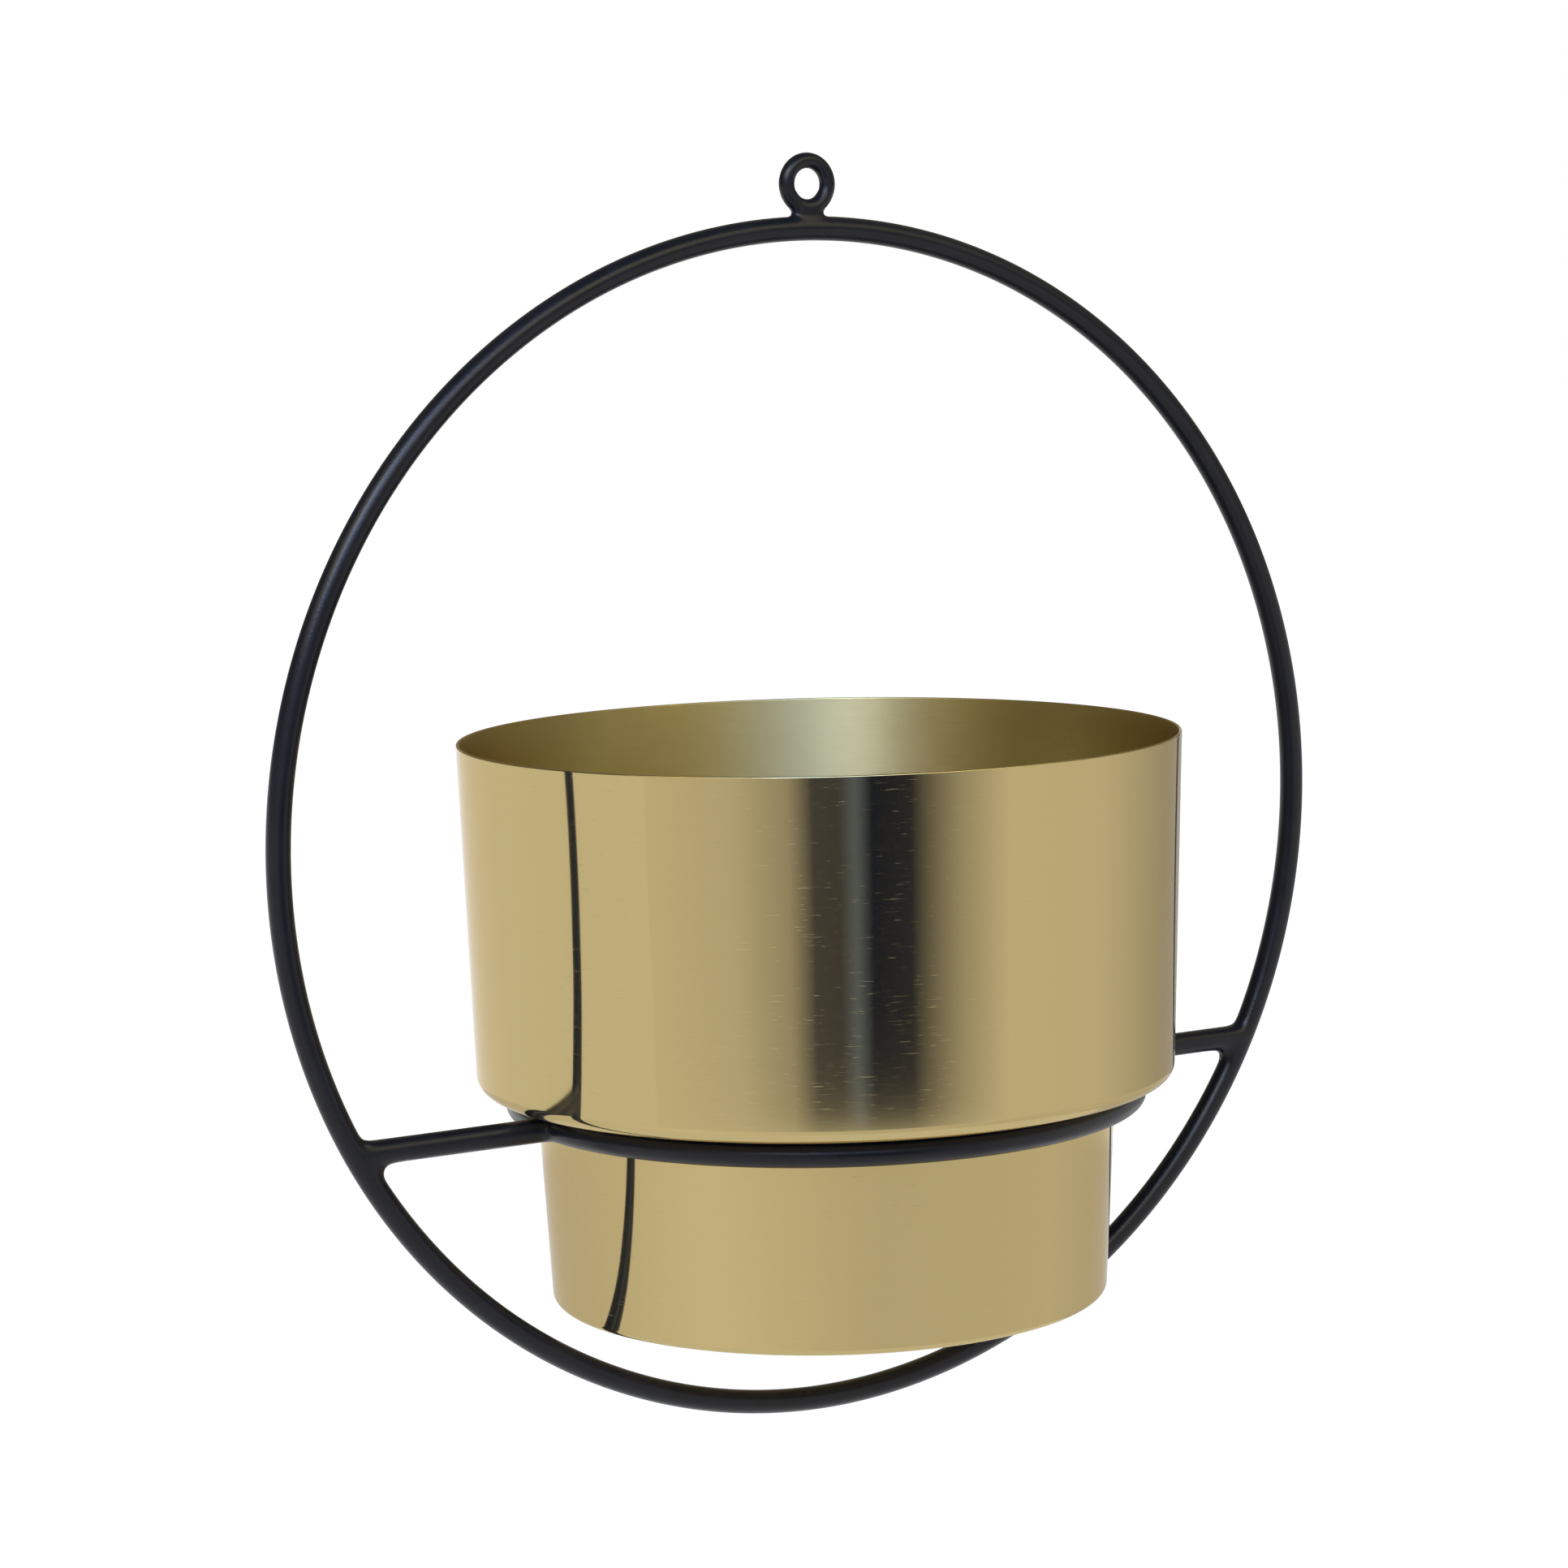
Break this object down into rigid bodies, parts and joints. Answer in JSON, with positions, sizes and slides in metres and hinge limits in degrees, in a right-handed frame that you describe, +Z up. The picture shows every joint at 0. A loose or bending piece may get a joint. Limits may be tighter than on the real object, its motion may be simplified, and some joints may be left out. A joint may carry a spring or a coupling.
{
  "type": "hanging planter",
  "caption": "Hanging planter: a round bar hoop with an eye on top carries a stepped, brass-finished open pot that drops into a level ring and lifts out again.",
  "frame": {"origin": "centre of the hanging eye's hole", "axes": "+Z up, the hoop stands in the XZ plane, +Y along the eye's hole and square to the hoop; the picture looks from -X and -Y"},
  "size_m": [0.3264, 0.1966, 0.3434],
  "materials": {
    "black_coat": "satin black powder coat over round steel bar",
    "brass_finish": "pale brass sheet, polished outside and satin inside"
  },
  "bodies": {
    "frame": {"hoop": "black_coat", "hanging_eye": "black_coat", "eye_weld": "black_coat", "carrier_ring": "black_coat", "left_strut": "black_coat", "right_strut": "black_coat", "left_hoop_weld": "black_coat", "right_hoop_weld": "black_coat", "left_ring_weld": "black_coat", "right_ring_weld": "black_coat"},
    "pot": {"pot": "brass_finish"}
  },
  "joints": [
    {"name": "pot_lift", "type": "slide", "parent": "frame", "child": "pot", "axis": [0, 0, 1], "range_m": [0, 0.075]}
  ]
}
